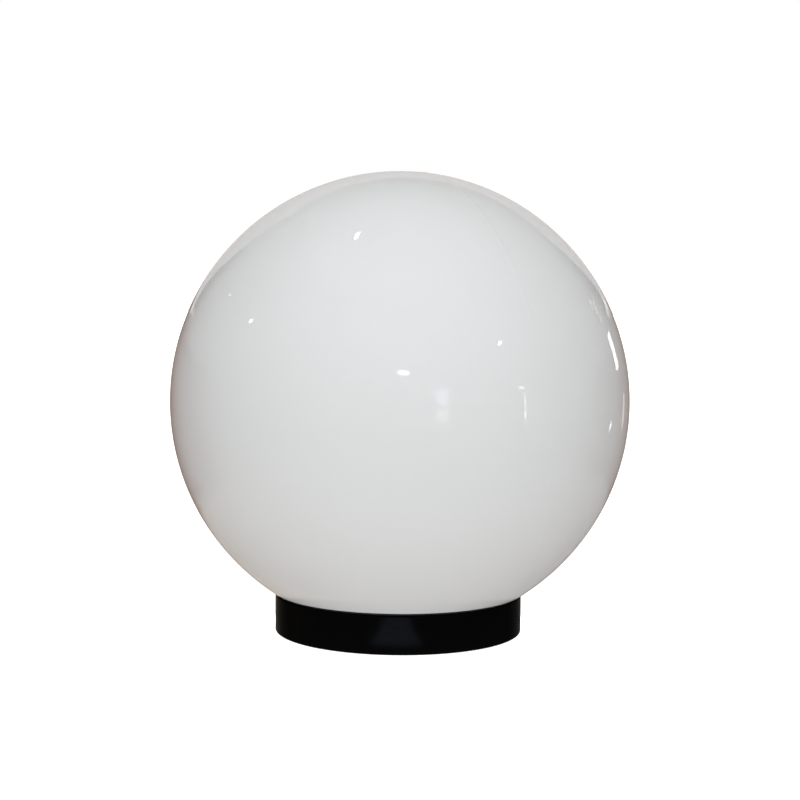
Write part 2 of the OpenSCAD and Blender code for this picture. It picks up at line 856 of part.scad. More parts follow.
module driver_coil() {
    color("#6f4a2b")
        translate([0, -driver_t / 2, cap_top + 11])
            rotate([90, 0, 0]) {
                cylinder(r = 4.5, h = 1);
                cylinder(r = 3.4, h = 7);
                translate([0, 0, 6])
                    cylinder(r = 4.5, h = 1);
            }
}

module driver_chips() {
    color("#17181a")
        for (z = [driver_low + 3, driver_low + 12])
            block([-3, driver_t / 2, z], [3, driver_t / 2 + 1.6, z + 5]);
}

// Terminal block

module terminal_block() {
    wall_r = 4.5;
    tower_r = 3.2;
    web_t = 3;
    end_y = pole_pitch / 2 - 0.2;
    color("#e4e2da")
        difference() {
            union() {
                block([-block_face, pole_y[0] - end_y, block_z],
                    [block_face, pole_y[2] + end_y, block_z + web_t]);
                for (y = pole_y) {
                    block([-block_face, y - wall_r, block_z], [block_face, y + wall_r, wire_z]);
                    translate([-block_face, y, wire_z])
                        rotate([0, 90, 0])
                            cylinder(r = wall_r, h = block_l, $fn = 48);
                    for (x = [-grub_x, grub_x])
                        translate([x, y, wire_z])
                            cylinder(r = tower_r, h = block_z + block_h - wire_z, $fn = 48);
                }
            }
            for (y = pole_y) {
                translate([-block_face - over, y, wire_z])
                    rotate([0, 90, 0])
                        cylinder(d = tunnel_d + 2 * fit, h = block_l + 2 * over, $fn = 48);
                for (x = [-grub_x, grub_x])
                    translate([x, y, wire_z])
                        cylinder(d = grub_head_d + 2 * fit, h = block_h, $fn = 48);
            }
            translate([0, (pole_y[0] + pole_y[1]) / 2, block_z - over])
                cylinder(d = screw_d + 2 * fit, h = block_h, $fn = 48);
            translate([0, (pole_y[0] + pole_y[1]) / 2, block_z + web_t])
                cylinder(d = screw_head_d - 0.4, h = block_h, $fn = 48);
        }
}

module terminal_tubes() {
    inset = 0.6;
    color("#d3a94c")
        for (y = pole_y)
            difference() {
                translate([-block_face + inset, y, wire_z])
                    rotate([0, 90, 0])
                        cylinder(d = tunnel_d, h = block_l - 2 * inset, $fn = 48);
                translate([-block_face, y, wire_z])
                    rotate([0, 90, 0])
                        cylinder(d = tunnel_bore, h = block_l, $fn = 48);
                for (x = [-grub_x, grub_x])
                    translate([x, y, wire_z])
                        cylinder(d = grub_d + 2 * fit, h = tunnel_d, $fn = 48);
            }
}

module terminal_screws() {
    head_z = wire_z + tunnel_d / 2 + 1.2;
    color("#b9bcc0")
        for (y = pole_y)
            for (x = [-grub_x, grub_x])
                translate([x, y, head_z])
                    screw(grub_d, head_z - wire_z - core_r - fit, grub_head_d, 1.6);
}

module block_screw() {
    color("#b9bcc0")
        translate([0, (pole_y[0] + pole_y[1]) / 2, block_z + 3])
            screw(screw_d, boss_h + 3, screw_head_d - 0.6, screw_head_h);
}

// Wiring

// Routes of the leads: out of the terminal block, then to the lamp holder or the bracket
holder_end = [for (a = term_angles) concat(polar(holder_wire_r, a), holder_wire_z)];
holder_run = [for (a = term_angles) concat(polar(holder_wire_r + straight, a), holder_wire_z)];
barrel_y = earth_y + 7;
neutral_route = [
    [lead_start, pole_y[0], wire_z], [lead_start + straight, pole_y[0], wire_z], [23, 32, wire_z + 1],
    [29, 26, wire_z + 3], holder_run[0], holder_end[0]
];
live_route = [
    [lead_start, pole_y[2], wire_z], [lead_start + straight, pole_y[2], wire_z], [25, 49, wire_z],
    [36, 39, wire_z], [45, 26, wire_z + 1], [49, 9, wire_z + 2], [47, -8, wire_z + 3], [40, -18, wire_z + 4],
    holder_run[1], holder_end[1]
];
earth_route = [
    [lead_start, pole_y[1], wire_z], [lead_start + straight, pole_y[1], wire_z], [24, 42, wire_z],
    [31, 36, wire_z - 1], [bracket_screw_x, 28, ring_z + 2], [bracket_screw_x, barrel_y + 6, ring_z + lead_r],
    [bracket_screw_x, barrel_y + seat, ring_z + lead_r]
];

module neutral_wire() {
    color("#2f62b0")
        lead(neutral_route, lead_r);
}

module live_wire() {
    color("#7a4425")
        lead(live_route, lead_r);
}

module earth_wire() {
    color("#5fa53a")
        lead(earth_route, lead_r);
}

// Bare copper past the insulation, in the block, the holder's terminals and the earth ring's barrel
module bare_ends() {
    color("#c77b4a") {
        for (y = pole_y)
            translate([lead_start - block_core, y, wire_z])
                rotate([0, 90, 0])
                    cylinder(r = core_r, h = block_core, $fn = 32);
        at_polar(holder_wire_r - holder_core, term_angles)
            translate([0, 0, holder_wire_z])
                rotate([0, 90, 0])
                    cylinder(r = core_r, h = holder_core, $fn = 32);
        translate([bracket_screw_x, barrel_y + seat, ring_z + lead_r])
            rotate([90, 0, 0])
                cylinder(r = core_r, h = ring_core, $fn = 32);
    }
}

module earth_ring() {
    barrel_l = 4.5;
    tongue_w = 3.2;
    color("#c9ccce")
        difference() {
            union() {
                translate([bracket_screw_x, earth_y, ring_z])
                    cylinder(d = screw_head_d + 1.6, h = ring_t, $fn = 48);
                block([bracket_screw_x - tongue_w / 2, earth_y, ring_z],
                    [bracket_screw_x + tongue_w / 2, barrel_y - 1, ring_z + ring_t]);
                translate([bracket_screw_x, barrel_y, ring_z + lead_r])
                    rotate([90, 0, 0])
                        cylinder(r = core_r + 0.4, h = barrel_l, $fn = 48);
                translate([bracket_screw_x - 0.6, barrel_y - barrel_l, ring_z])
                    cube([1.2, barrel_l, lead_r]);
            }
            translate([bracket_screw_x, earth_y, ring_z - over])
                cylinder(d = screw_d + 2 * fit, h = ring_t + 2 * over, $fn = 48);
            translate([bracket_screw_x, barrel_y + over, ring_z + lead_r])
                rotate([90, 0, 0])
                    cylinder(r = core_r + fit, h = 5, $fn = 48);
            translate([bracket_screw_x, earth_y, ring_z + ring_t])
                cylinder(d = screw_head_d + 0.4, h = 4, $fn = 48);
        }
}

module earth_screw() {
    color("#c8a24a")
        translate([bracket_screw_x, earth_y, ring_z + ring_t])
            small_screw(ring_t + bracket_t + boss_h);
}

// Cord clamp, open and empty

module cord_clamp() {
    saddle_r = cable_d / 2 + 0.2;
    axis_h = cable_d / 2 - boss_h;
    half = clamp_span / 2 + 3.6;
    color("#d9d7cf")
        translate([clamp_at[0], clamp_at[1], boss_z])
            rotate([0, 0, clamp_angle])
                difference() {
                    rotate([90, 0, 90])
                        linear_extrude(clamp_w, center = true)
                            difference() {
                                union() {
                                    translate([-half, 0])
                                        square([2 * half, clamp_t]);
                                    translate([0, axis_h])
                                        circle(r = saddle_r + clamp_t);
                                }
                                translate([0, axis_h])
                                    circle(r = saddle_r);
                                translate([-half, -cable_d - clamp_t])
                                    square([2 * half, cable_d + clamp_t]);
                            }
                    for (s = [-1, 1])
                        translate([0, s * clamp_span / 2, -over])
                            cylinder(d = screw_d + 2 * pass, h = clamp_t + 2 * over, $fn = 48);
                }
}

module clamp_screws() {
    color("#b9bcc0")
        for (p = clamp_screw_pts)
            translate([p[0], p[1], boss_z + clamp_t])
                small_screw(clamp_t + boss_h);
}

globe();
globe_seal();
base_housing();
mounting_gasket();
cable_grommet();
spring_clips();
clip_screws();
holder_bracket();
bracket_screws();
holder_body();
holder_screws();
holder_shell();
shell_rivets();
centre_contact();
shell_contact();
holder_terminals();
holder_terminal_screws();
lamp_tip();
lamp_insulator();
lamp_cap();
lamp_housing();
lamp_dome();
led_board();
led_chips();
driver_board();
driver_capacitor();
driver_coil();
driver_chips();
terminal_block();
terminal_tubes();
terminal_screws();
block_screw();
live_wire();
neutral_wire();
earth_wire();
bare_ends();
earth_ring();
earth_screw();
cord_clamp();
clamp_screws();
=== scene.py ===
import json
import math

import bmesh
import bpy
from mathutils import Matrix, Vector


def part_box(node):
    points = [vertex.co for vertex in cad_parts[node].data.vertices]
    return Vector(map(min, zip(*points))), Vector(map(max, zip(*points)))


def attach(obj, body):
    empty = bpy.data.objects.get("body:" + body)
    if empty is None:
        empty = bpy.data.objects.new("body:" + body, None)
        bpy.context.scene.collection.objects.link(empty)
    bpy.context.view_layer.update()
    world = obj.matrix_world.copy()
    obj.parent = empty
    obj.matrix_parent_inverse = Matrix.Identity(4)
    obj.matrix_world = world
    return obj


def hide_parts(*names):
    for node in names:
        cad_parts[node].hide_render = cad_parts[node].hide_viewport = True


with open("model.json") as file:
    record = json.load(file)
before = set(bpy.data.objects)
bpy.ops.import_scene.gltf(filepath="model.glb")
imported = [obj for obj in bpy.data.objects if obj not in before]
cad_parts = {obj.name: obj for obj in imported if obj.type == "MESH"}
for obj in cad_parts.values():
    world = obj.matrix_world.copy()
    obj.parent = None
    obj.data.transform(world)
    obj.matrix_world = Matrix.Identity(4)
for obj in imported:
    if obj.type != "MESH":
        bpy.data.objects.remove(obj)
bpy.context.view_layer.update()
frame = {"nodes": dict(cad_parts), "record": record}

MM = 0.001

# Sizes taken from the frame

globe_low, globe_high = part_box("globe")
base_low, base_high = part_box("base_housing")
GLOBE_R = (globe_high.x - globe_low.x) / 2
GLOBE_Z = globe_high.z - GLOBE_R
BASE_R = (base_high.x - base_low.x) / 2
BASE_H = base_high.z

# Camera: it looks at the ball's middle from slightly above, a little over 10 ball radii away

CAMERA_DISTANCE = 1.6
CAMERA_ELEVATION = math.radians(6.6)
CAMERA_ROLL = math.radians(0.5)
CAMERA_LENS = 109.9
CAMERA_REACH = 60
SENSOR = 36
AIM = Vector((0.0001, 0, GLOBE_Z + 0.0006))


def look_at(place, target, roll=0):
    """World matrix of something at place whose -Z points at target."""
    turn = (target - place).to_track_quat("-Z", "Y").to_matrix().to_4x4()
    return Matrix.Translation(place) @ turn @ Matrix.Rotation(roll, 4, "Z")


def add_camera():
    data = bpy.data.cameras.new("camera")
    data.lens = CAMERA_LENS
    data.sensor_width = SENSOR
    data.clip_end = CAMERA_REACH
    camera = bpy.data.objects.new("camera", data)
    bpy.context.collection.objects.link(camera)
    back = Vector((0, -math.cos(CAMERA_ELEVATION), math.sin(CAMERA_ELEVATION)))
    camera.matrix_world = look_at(AIM + CAMERA_DISTANCE * back, AIM, CAMERA_ROLL)
    bpy.context.scene.camera = camera


add_camera()


# Materials

SMOOTHEST = 0.005
GRAIN = 0.01 * MM
BASE_INSIDE_R = BASE_R - 2.9 * MM
BASE_INSIDE_FADE = 0.4 * MM

# Sockets of a Mix node: those of a number, then those of a colour

NUMBER_A, NUMBER_B, NUMBER_RESULT = 2, 3, 0
COLOR_A, COLOR_B, COLOR_RESULT = 6, 7, 2


def set_input(node, name, value):
    node.inputs[name].default_value = value


def scaled(color, level):
    return tuple(level * c for c in color)


class Paint:
    """A Principled material with helpers for the node patterns that are used more than once."""

    def __init__(self, name, color, roughness, **inputs):
        self.material = bpy.data.materials.new(name)
        self.material.use_nodes = True
        self.nodes = self.material.node_tree.nodes
        self.links = self.material.node_tree.links
        self.shader = self.nodes["Principled BSDF"]
        self.color = color
        self.roughness = roughness
        self.height = None
        set_input(self.shader, "Base Color", (*color, 1))
        set_input(self.shader, "Roughness", roughness)
        for key, value in inputs.items():
            set_input(self.shader, key.replace("_", " "), value)

    def node(self, kind, **settings):
        made = self.nodes.new(kind)
        for key, value in settings.items():
            setattr(made, key, value)
        return made

    def place(self, scale=(1, 1, 1), rotation=(0, 0, 0)):
        """Object coordinates, scaled and turned."""
        coordinates = self.node("ShaderNodeTexCoord")
        mapping = self.node("ShaderNodeMapping")
        set_input(mapping, "Scale", scale)
        set_input(mapping, "Rotation", rotation)
        self.links.new(coordinates.outputs["Object"], mapping.inputs["Vector"])
        return mapping.outputs["Vector"]

    def noise(self, size, detail=3, roughness=0.5, place=None):
        """Noise whose grains are about size metres across."""
        noise = self.node("ShaderNodeTexNoise")
        set_input(noise, "Scale", 1 / size)
        set_input(noise, "Detail", detail)
        set_input(noise, "Roughness", roughness)
        self.links.new(place or self.place(), noise.inputs["Vector"])
        return noise.outputs["Fac"]

    def spread(self, factor, low, high, start=0.3, end=0.7):
        """Maps a factor to a number between low and high."""
        span = self.node("ShaderNodeMapRange")
        set_input(span, "From Min", start)
        set_input(span, "From Max", end)
        set_input(span, "To Min", low)
        set_input(span, "To Max", high)
        self.links.new(factor, span.inputs["Value"])
        return span.outputs["Result"]

    def blend_color(self, factor, other):
        """Blends from the colour so far to another one by a factor."""
        mix = self.node("ShaderNodeMix", data_type="RGBA")
        self.links.new(factor, mix.inputs["Factor"])
        socket = self.shader.inputs["Base Color"]
        if socket.is_linked:
            self.links.new(socket.links[0].from_socket, mix.inputs[COLOR_A])
        else:
            mix.inputs[COLOR_A].default_value = (*self.color, 1)
        mix.inputs[COLOR_B].default_value = (*other, 1)
        self.links.new(mix.outputs[COLOR_RESULT], socket)

    def cloud(self, size, cover, other, detail=3):
        """Clouds of another colour, about size metres across, of cover where they are densest."""
        self.blend_color(self.spread(self.noise(size, detail), 0, cover), other)

    def vary_roughness(self, factor, amount):
        low = max(self.roughness - amount, SMOOTHEST)
        varied = self.spread(factor, low, self.roughness + amount)
        self.links.new(varied, self.shader.inputs["Roughness"])

    def within(self, radius, soft):
        """1 nearer to the Z axis than radius, 0 further out."""
        length = self.node("ShaderNodeVectorMath", operation="LENGTH")
        self.links.new(self.place((1, 1, 0)), length.inputs[0])
        return self.spread(length.outputs["Value"], 1, 0, radius - soft, radius)

    def gloss(self, factor, facing, rim, other):
        """Gloss of level facing, rim where the surface turns away, blended to level other."""
        mix = self.node("ShaderNodeMix")
        weight = self.node("ShaderNodeLayerWeight")
        set_input(weight, "Blend", 0.5)
        outside = self.spread(weight.outputs["Facing"], facing, rim, start=0.1, end=0.55)
        self.links.new(factor, mix.inputs["Factor"])
        self.links.new(outside, mix.inputs[NUMBER_A])
        mix.inputs[NUMBER_B].default_value = other
        self.links.new(mix.outputs[NUMBER_RESULT], self.shader.inputs["Specular IOR Level"])

    def bump(self, factor, depth):
        """Adds a bump of depth metres."""
        bump = self.node("ShaderNodeBump")
        set_input(bump, "Strength", 1)
        set_input(bump, "Distance", depth)
        self.links.new(factor, bump.inputs["Height"])
        if self.height:
            self.links.new(self.height, bump.inputs["Normal"])
        self.height = bump.outputs["Normal"]
        self.links.new(self.height, self.shader.inputs["Normal"])


def opal_acrylic():
    """White blow-moulded acrylic: glossy, faintly cloudy, with the long soft waves of a blown skin."""
    paint = Paint("opal_acrylic", (0.773, 0.777, 0.785), 0.012, IOR=1.49, Subsurface_Weight=0.5,
                  Subsurface_Radius=(1, 1, 1), Subsurface_Scale=0.005)
    paint.cloud(0.09, 0.5, (0.758, 0.768, 0.77), detail=2)
    paint.vary_roughness(paint.noise(0.02), 0.004)
    paint.bump(paint.noise(0.05, detail=1), GRAIN)
    return paint.material


def black_housing():
    """Black moulded plastic with a fine eggshell grain, deep black outside and greyer inside."""
    paint = Paint("black_housing", (0.001, 0.001, 0.0012), 0.22, IOR=1.46)
    inside = paint.within(BASE_INSIDE_R, BASE_INSIDE_FADE)
    paint.blend_color(inside, (0.016, 0.016, 0.017))
    paint.gloss(inside, facing=0.03, rim=0.003, other=0.4)
    grain = paint.noise(0.0006, detail=2)
    paint.vary_roughness(paint.noise(0.012), 0.05)
    paint.bump(grain, GRAIN)
    return paint.material


def soft_rubber():
    paint = Paint("black_rubber", (0.012, 0.012, 0.012), 0.62, Specular_IOR_Level=0.3)
    paint.bump(paint.noise(0.0008), 3 * GRAIN)
    return paint.material


def plated_steel(name, color, roughness):
    """Bright or plated metal with a fine spangle and faint scratches."""
    paint = Paint(name, color, roughness, Metallic=1)
    scratches = paint.noise(0.0015, detail=4, roughness=0.7, place=paint.place(scale=(1, 1, 9)))
    paint.vary_roughness(scratches, 0.08)
    paint.cloud(0.004, 0.6, scaled(color, 0.8))
    paint.bump(scratches, GRAIN)
    return paint.material


def glazed_porcelain():
    """Cream porcelain under a thin glaze, with a few dark specks in the clay."""
    paint = Paint("porcelain", (0.80, 0.775, 0.70), 0.16, Coat_Weight=0.4, Coat_Roughness=0.05)
    paint.cloud(0.008, 0.35, (0.70, 0.665, 0.58))
    specks = paint.noise(0.0009, detail=2, roughness=0.7)
    paint.blend_color(paint.spread(specks, 0, 0.7, start=0.70, end=0.78), (0.33, 0.27, 0.20))
    paint.bump(paint.noise(0.006, detail=2), 12 * GRAIN)
    return paint.material


def moulded_plastic(name, color, roughness, dark=0.85):
    """Plain plastic with faint darker clouds, of level dark."""
    paint = Paint(name, color, roughness)
    paint.cloud(0.006, 0.5, scaled(color, dark))
    paint.vary_roughness(paint.noise(0.002), 0.06)
    paint.bump(paint.noise(0.003, detail=2), GRAIN)
    return paint.material


def frosted_dome():
    """The lamp's dome, white plastic that lets some light in under its skin."""
    paint = Paint("opal_dome", (0.86, 0.87, 0.865), 0.38, Subsurface_Weight=0.25, Subsurface_Scale=0.003)
    paint.vary_roughness(paint.noise(0.003), 0.05)
    paint.bump(paint.noise(0.0007, detail=2), GRAIN)
    return paint.material


def circuit_board(name, color, track):
    """Solder mask with the raised tracks under it."""
    paint = Paint(name, color, 0.35)
    tracks = paint.node("ShaderNodeTexBrick")
    set_input(tracks, "Scale", 260)
    set_input(tracks, "Color1", (0, 0, 0, 1))
    set_input(tracks, "Color2", (0.2, 0.2, 0.2, 1))
    set_input(tracks, "Mortar", (1, 1, 1, 1))
    set_input(tracks, "Mortar Size", 0.03)
    paint.links.new(paint.place(rotation=(math.radians(90), 0, 0)), tracks.inputs["Vector"])
    paint.blend_color(tracks.outputs["Color"], track)
    paint.bump(tracks.outputs["Color"], 3 * GRAIN)
    return paint.material


def phosphor():
    """The yellow grain of the light chips, under clear resin."""
    paint = Paint("phosphor", (0.83, 0.62, 0.10), 0.5, Coat_Weight=0.6, Coat_Roughness=0.1)
    paint.cloud(0.0007, 0.6, (0.88, 0.72, 0.25))
    return paint.material


def cable_plastic(name, color):
    """Wire insulation."""
    paint = Paint(name, color, 0.34, Specular_IOR_Level=0.4)
    paint.cloud(0.004, 0.5, scaled(color, 0.85))
    paint.vary_roughness(paint.noise(0.0015), 0.06)
    paint.bump(paint.noise(0.0009, detail=2), 2 * GRAIN)
    return paint.material


MATERIALS = {
    "opal_acrylic": opal_acrylic(),
    "black_housing": black_housing(),
    "black_rubber": soft_rubber(),
    "porcelain": glazed_porcelain(),
    "opal_dome": frosted_dome(),
    "phosphor": phosphor(),
}

# Finishes of one kind, each with its colour and whatever else the kind takes

METALS = {
    "spring_steel": ((0.60, 0.61, 0.62), 0.22),
    "zinc_steel": ((0.52, 0.54, 0.56), 0.34),
    "screw_steel": ((0.30, 0.29, 0.27), 0.28),
    "brass": ((0.72, 0.52, 0.20), 0.26),
    "bronze": ((0.62, 0.36, 0.17), 0.28),
    "nickel": ((0.62, 0.60, 0.56), 0.20),
    "solder": ((0.50, 0.50, 0.50), 0.40),
    "copper": ((0.70, 0.32, 0.16), 0.25),
}
PLASTICS = {
    "black_glass": ((0.012, 0.012, 0.016), 0.08),
    "white_plastic": ((0.80, 0.80, 0.78), 0.32, 0.95),
    "sleeve": ((0.03, 0.045, 0.09), 0.25),
    "black_epoxy": ((0.02, 0.02, 0.022), 0.5),
    "nylon": ((0.74, 0.71, 0.62), 0.42, 0.92),
}
BOARDS = {
    "white_board": ((0.76, 0.77, 0.75), (0.62, 0.63, 0.60)),
    "green_board": ((0.02, 0.13, 0.05), (0.05, 0.22, 0.08)),
}
CABLES = {
    "brown_pvc": ((0.12, 0.045, 0.018),),
    "blue_pvc": ((0.02, 0.09, 0.38),),
    "green_yellow_pvc": ((0.03, 0.25, 0.04),),
    "yellow_stripe": ((0.80, 0.60, 0.03),),
}
for make, looks in (
    (plated_steel, METALS), (moulded_plastic, PLASTICS), (circuit_board, BOARDS), (cable_plastic, CABLES),
):
    for name, look in looks.items():
        MATERIALS[name] = make(name, *look)

SLOTS = {part["node"]: part["material_slot"] for part in frame["record"]["subparts"]}
BODIES = {node: body for body, nodes in frame["record"]["behaviour"]["bodies"].items() for node in nodes}


# Mesh helpers

ON_AXIS = 1e-7
CUT_DISTANCE = 1e-7
ON_CUT = 1e-6


def new_object(name, verts, faces, material=None):
    mesh = bpy.data.meshes.new(name)
    mesh.from_pydata([tuple(v) for v in verts], [], faces)
    made = bpy.data.objects.new(name, mesh)
    bpy.context.collection.objects.link(made)
    if material:
        mesh.materials.append(MATERIALS[material])
    return made


def smooth(obj, angle=35):
    """Smooth shading, with sharp edges where faces meet at more than angle degrees."""
    work = bmesh.new()
    work.from_mesh(obj.data)
    bmesh.ops.recalc_face_normals(work, faces=work.faces)
    limit = math.radians(angle)
    for face in work.faces:
        face.smooth = True
    for edge in work.edges:
        edge.smooth = len(edge.link_faces) == 2 and edge.calc_face_angle(0) < limit
    work.to_mesh(obj.data)
    work.free()
    return obj


def arc(centre, radius, start, end, steps):
    """Points of an arc in the plane of radius and height, angles in degrees."""
    angles = [math.radians(start + (end - start) * i / steps) for i in range(steps + 1)]
    return [(centre[0] + radius * math.cos(a), centre[1] + radius * math.sin(a)) for a in angles]


def grid_faces(rows, columns):
    return [
        (i * columns + j, (i + 1) * columns + j, (i + 1) * columns + j + 1, i * columns + j + 1)
        for i in range(rows - 1) for j in range(columns - 1)
    ]


def closed_revolve(name, profile, angles, material):
    """Turns a closed profile round the Z axis; its radius may be a function of the angle."""
    verts, index = [], []
    for radius, z in profile:
        row = []
        for a in angles:
            r = radius(a) if callable(radius) else radius
            if r < ON_AXIS and row:
                row.append(row[0])
                continue
            row.append(len(verts))
            verts.append((r * math.cos(a), r * math.sin(a), z))
        index.append(row)
    faces = []
    rows, columns = len(profile), len(angles)
    for i in range(rows):
        here, there = index[i], index[(i + 1) % rows]
        for j in range(columns):
            k = (j + 1) % columns
            corners = dict.fromkeys((here[j], here[k], there[k], there[j]))
            if len(corners) > 2:
                faces.append(tuple(corners))
    return new_object(name, verts, faces, material)


def even_angles(count):
    return [2 * math.pi * i / count for i in range(count)]


REPLACED = set()


def stand_for(obj, node):
    """Gives a modelled piece the body of the node that it replaces, and hides that node."""
    REPLACED.add(node)
    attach(obj, BODIES[node])
    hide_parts(node)


# The ball, one blown piece: sphere, rounded lower edge, shoulder, and the neck inside the base

BALL_SIDES = 256
BALL_WALL = 3 * MM
EDGE_ROUND = 2 * MM
SHOULDER_Z = BASE_H + 1.7 * MM
NECK_OUT = 74.5 * MM
NECK_IN = NECK_OUT - BALL_WALL
NECK_Z = globe_low.z
NECK_FILLET = 1.5 * MM
LIP_ROUND = 1 * MM
BEAD_R = 1.2 * MM
BEAD_LIFT = 0.3 * MM
SEAM_NORMAL = Vector((0.895, 0.433, 0.106)).normalized()
SEAM_OFFSET = 30.6 * MM
SEAM_HALF_WIDTH = 0.5 * MM
SEAM_HEIGHT = 0.14 * MM
SEAM_LEAST = 0.12
SEAM_SKIN = 0.2 * MM
SEAM_FADE = (-10 * MM, 90 * MM)


def ball_profile():
    outer_r = GLOBE_R - EDGE_ROUND
    edge_z = SHOULDER_Z + EDGE_ROUND
    edge_r = math.sqrt(outer_r ** 2 - (GLOBE_Z - edge_z) ** 2)
    edge_angle = math.degrees(math.atan2(edge_z - GLOBE_Z, edge_r))
    inner_r = GLOBE_R - BALL_WALL
    shelf_z = SHOULDER_Z + BALL_WALL
    shelf_r = math.sqrt(inner_r ** 2 - (GLOBE_Z - shelf_z) ** 2)
    shelf_angle = math.degrees(math.atan2(shelf_z - GLOBE_Z, shelf_r))
    bead_z = NECK_Z + BEAD_R + BEAD_LIFT
    outside = arc((0, GLOBE_Z), GLOBE_R, 90, edge_angle, steps=96)
    edge = arc((edge_r, edge_z), EDGE_ROUND, edge_angle, -90, steps=6)[1:]
    neck = arc((NECK_OUT + NECK_FILLET, SHOULDER_Z - NECK_FILLET), NECK_FILLET, 90, 180, steps=4)
    lip = arc((NECK_OUT - LIP_ROUND, NECK_Z + LIP_ROUND), LIP_ROUND, 0, -90, steps=3)
    bead = arc((NECK_IN, bead_z), BEAD_R, 270, 90, steps=8)
    shelf = [(NECK_IN, shelf_z)]
    inside = arc((0, GLOBE_Z), inner_r, shelf_angle, 90, steps=60)
    return outside + edge + neck + lip + [(NECK_IN, NECK_Z)] + bead + shelf + inside


def raise_seam(obj):
    """Cuts the ball along its moulding line and raises a fine ridge there, lower towards the base."""
    work = bmesh.new()
    work.from_mesh(obj.data)
    centre = Vector((0, 0, GLOBE_Z))
    for side in (-1, 0, 1):
        place = centre + (SEAM_OFFSET + side * SEAM_HALF_WIDTH) * SEAM_NORMAL
        bmesh.ops.bisect_plane(
            work, geom=work.verts[:] + work.edges[:] + work.faces[:], dist=CUT_DISTANCE,
            plane_co=place, plane_no=SEAM_NORMAL,
        )
    low, high = SEAM_FADE
    for vert in work.verts:
        out = vert.co - centre
        on_middle = abs(out.dot(SEAM_NORMAL) - SEAM_OFFSET) < ON_CUT
        if on_middle and out.length > GLOBE_R - SEAM_SKIN:
            strength = min(1, max(SEAM_LEAST, (out.z - low) / (high - low)))
            vert.co += out.normalized() * SEAM_HEIGHT * strength
    work.to_mesh(obj.data)
    work.free()
    return obj


ball = closed_revolve("ball", ball_profile(), even_angles(BALL_SIDES), SLOTS["globe"])
stand_for(smooth(raise_seam(ball)), "globe")


# The lamp's cap and the holder's brass shell, with one round thread

THREAD_PITCH = 3.629 * MM
THREAD_DEPTH = 1.05 * MM
THREAD_ROOT = 12.05 * MM
THREAD_MIDDLE = THREAD_ROOT + THREAD_DEPTH / 2
THREAD_GAP = 0.3 * MM
THREAD_STEPS = 24
THREAD_RUNOUT = THREAD_PITCH / 3
SHELL_WALL = 0.4 * MM
SHELL_IN = 9.5 * MM
SHELL_CORNER = 1 * MM
CAP_IN = 11.45 * MM
CAP_FOOT = (0.1 * MM, 0.8 * MM)
SKIRT_R = THREAD_MIDDLE + 0.3 * MM
SKIRT_H = 2.1 * MM
SKIRT_EDGE = (0.15 * MM, 0.2 * MM)
cap_low, cap_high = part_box("lamp_cap")
shell_low, shell_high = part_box("holder_shell")
THREAD_LOW = shell_low.z + 7 * MM
THREAD_HIGH = shell_high.z - 0.5 * MM


def thread_rows(root, ends):
    """Rows of the thread upwards; it runs out at its root if ends is 0, at its crest if ends is 1."""
    def thread_row(z):
        fade = min(1, min(z - THREAD_LOW, THREAD_HIGH - z) / THREAD_RUNOUT)
        turn = 2 * math.pi * (z - shell_low.z) / THREAD_PITCH

        def radius(angle):
            wave = 0.5 + 0.5 * math.cos(turn - angle)
            return root + THREAD_DEPTH * (ends + fade * (wave - ends))
        return radius, z

    count = round((THREAD_HIGH - THREAD_LOW) / THREAD_PITCH * THREAD_STEPS)
    return [thread_row(THREAD_LOW + (THREAD_HIGH - THREAD_LOW) * i / count) for i in range(count + 1)]


def cap_profile():
    foot_in, foot_h = CAP_FOOT
    edge_in, edge_h = SKIRT_EDGE
    skirt_z = cap_high.z - SKIRT_H
    return [
        (CAP_IN, cap_high.z), (CAP_IN, cap_low.z), (THREAD_ROOT - foot_in, cap_low.z),
        (THREAD_ROOT, cap_low.z + foot_h), *thread_rows(THREAD_ROOT, 0),
        (SKIRT_R - edge_in, skirt_z), (SKIRT_R, skirt_z + edge_h),
        (SKIRT_R, cap_high.z - edge_h), (SKIRT_R - edge_in, cap_high.z),
    ]


def shell_profile():
    root = THREAD_ROOT + THREAD_GAP
    crest = root + THREAD_DEPTH
    half = SHELL_WALL / 2
    corner = (crest + SHELL_WALL - SHELL_CORNER, shell_low.z + SHELL_CORNER)
    foot = arc(corner, SHELL_CORNER, 0, -90, steps=6)
    foot_in = arc(corner, SHELL_CORNER - SHELL_WALL, -90, 0, steps=6)
    lip = arc((crest + half, shell_high.z - half), half, 180, 0, steps=6)
    return [
        (SHELL_IN, shell_low.z + SHELL_WALL), *foot_in, *thread_rows(root, 1), *lip,
        *reversed(thread_rows(root + SHELL_WALL, 1)), *foot, (SHELL_IN, shell_low.z),
    ]


# The lamp's plastic housing and its dome

LAMP_SIDES = 96
LAMP_WALL = 1.4 * MM
DOME_WALL = 1.2 * MM
JOINT_DROP = 14 * MM
JOINT_ROUND = 0.25 * MM
BOARD_LEDGE = (22.1 * MM, 2 * MM)
LEDGE_CLEAR = 0.1 * MM
SPIGOT = (11.4 * MM, 10.2 * MM, 41.5 * MM)
HOUSING_FOOT_R = THREAD_MIDDLE + 0.7 * MM
HOUSING_LEAN = 0.5 * MM
HOUSING_PULL = 0.42
HOUSING_STEPS = 32
DOME_LIP_ANGLE = 0.6
dome_low, dome_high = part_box("lamp_dome")
LAMP_R = (dome_high.x - dome_low.x) / 2
DOME_Z = dome_high.z - LAMP_R
JOINT_Z = DOME_Z - JOINT_DROP
JOINT_R = math.sqrt(LAMP_R ** 2 - JOINT_DROP ** 2)


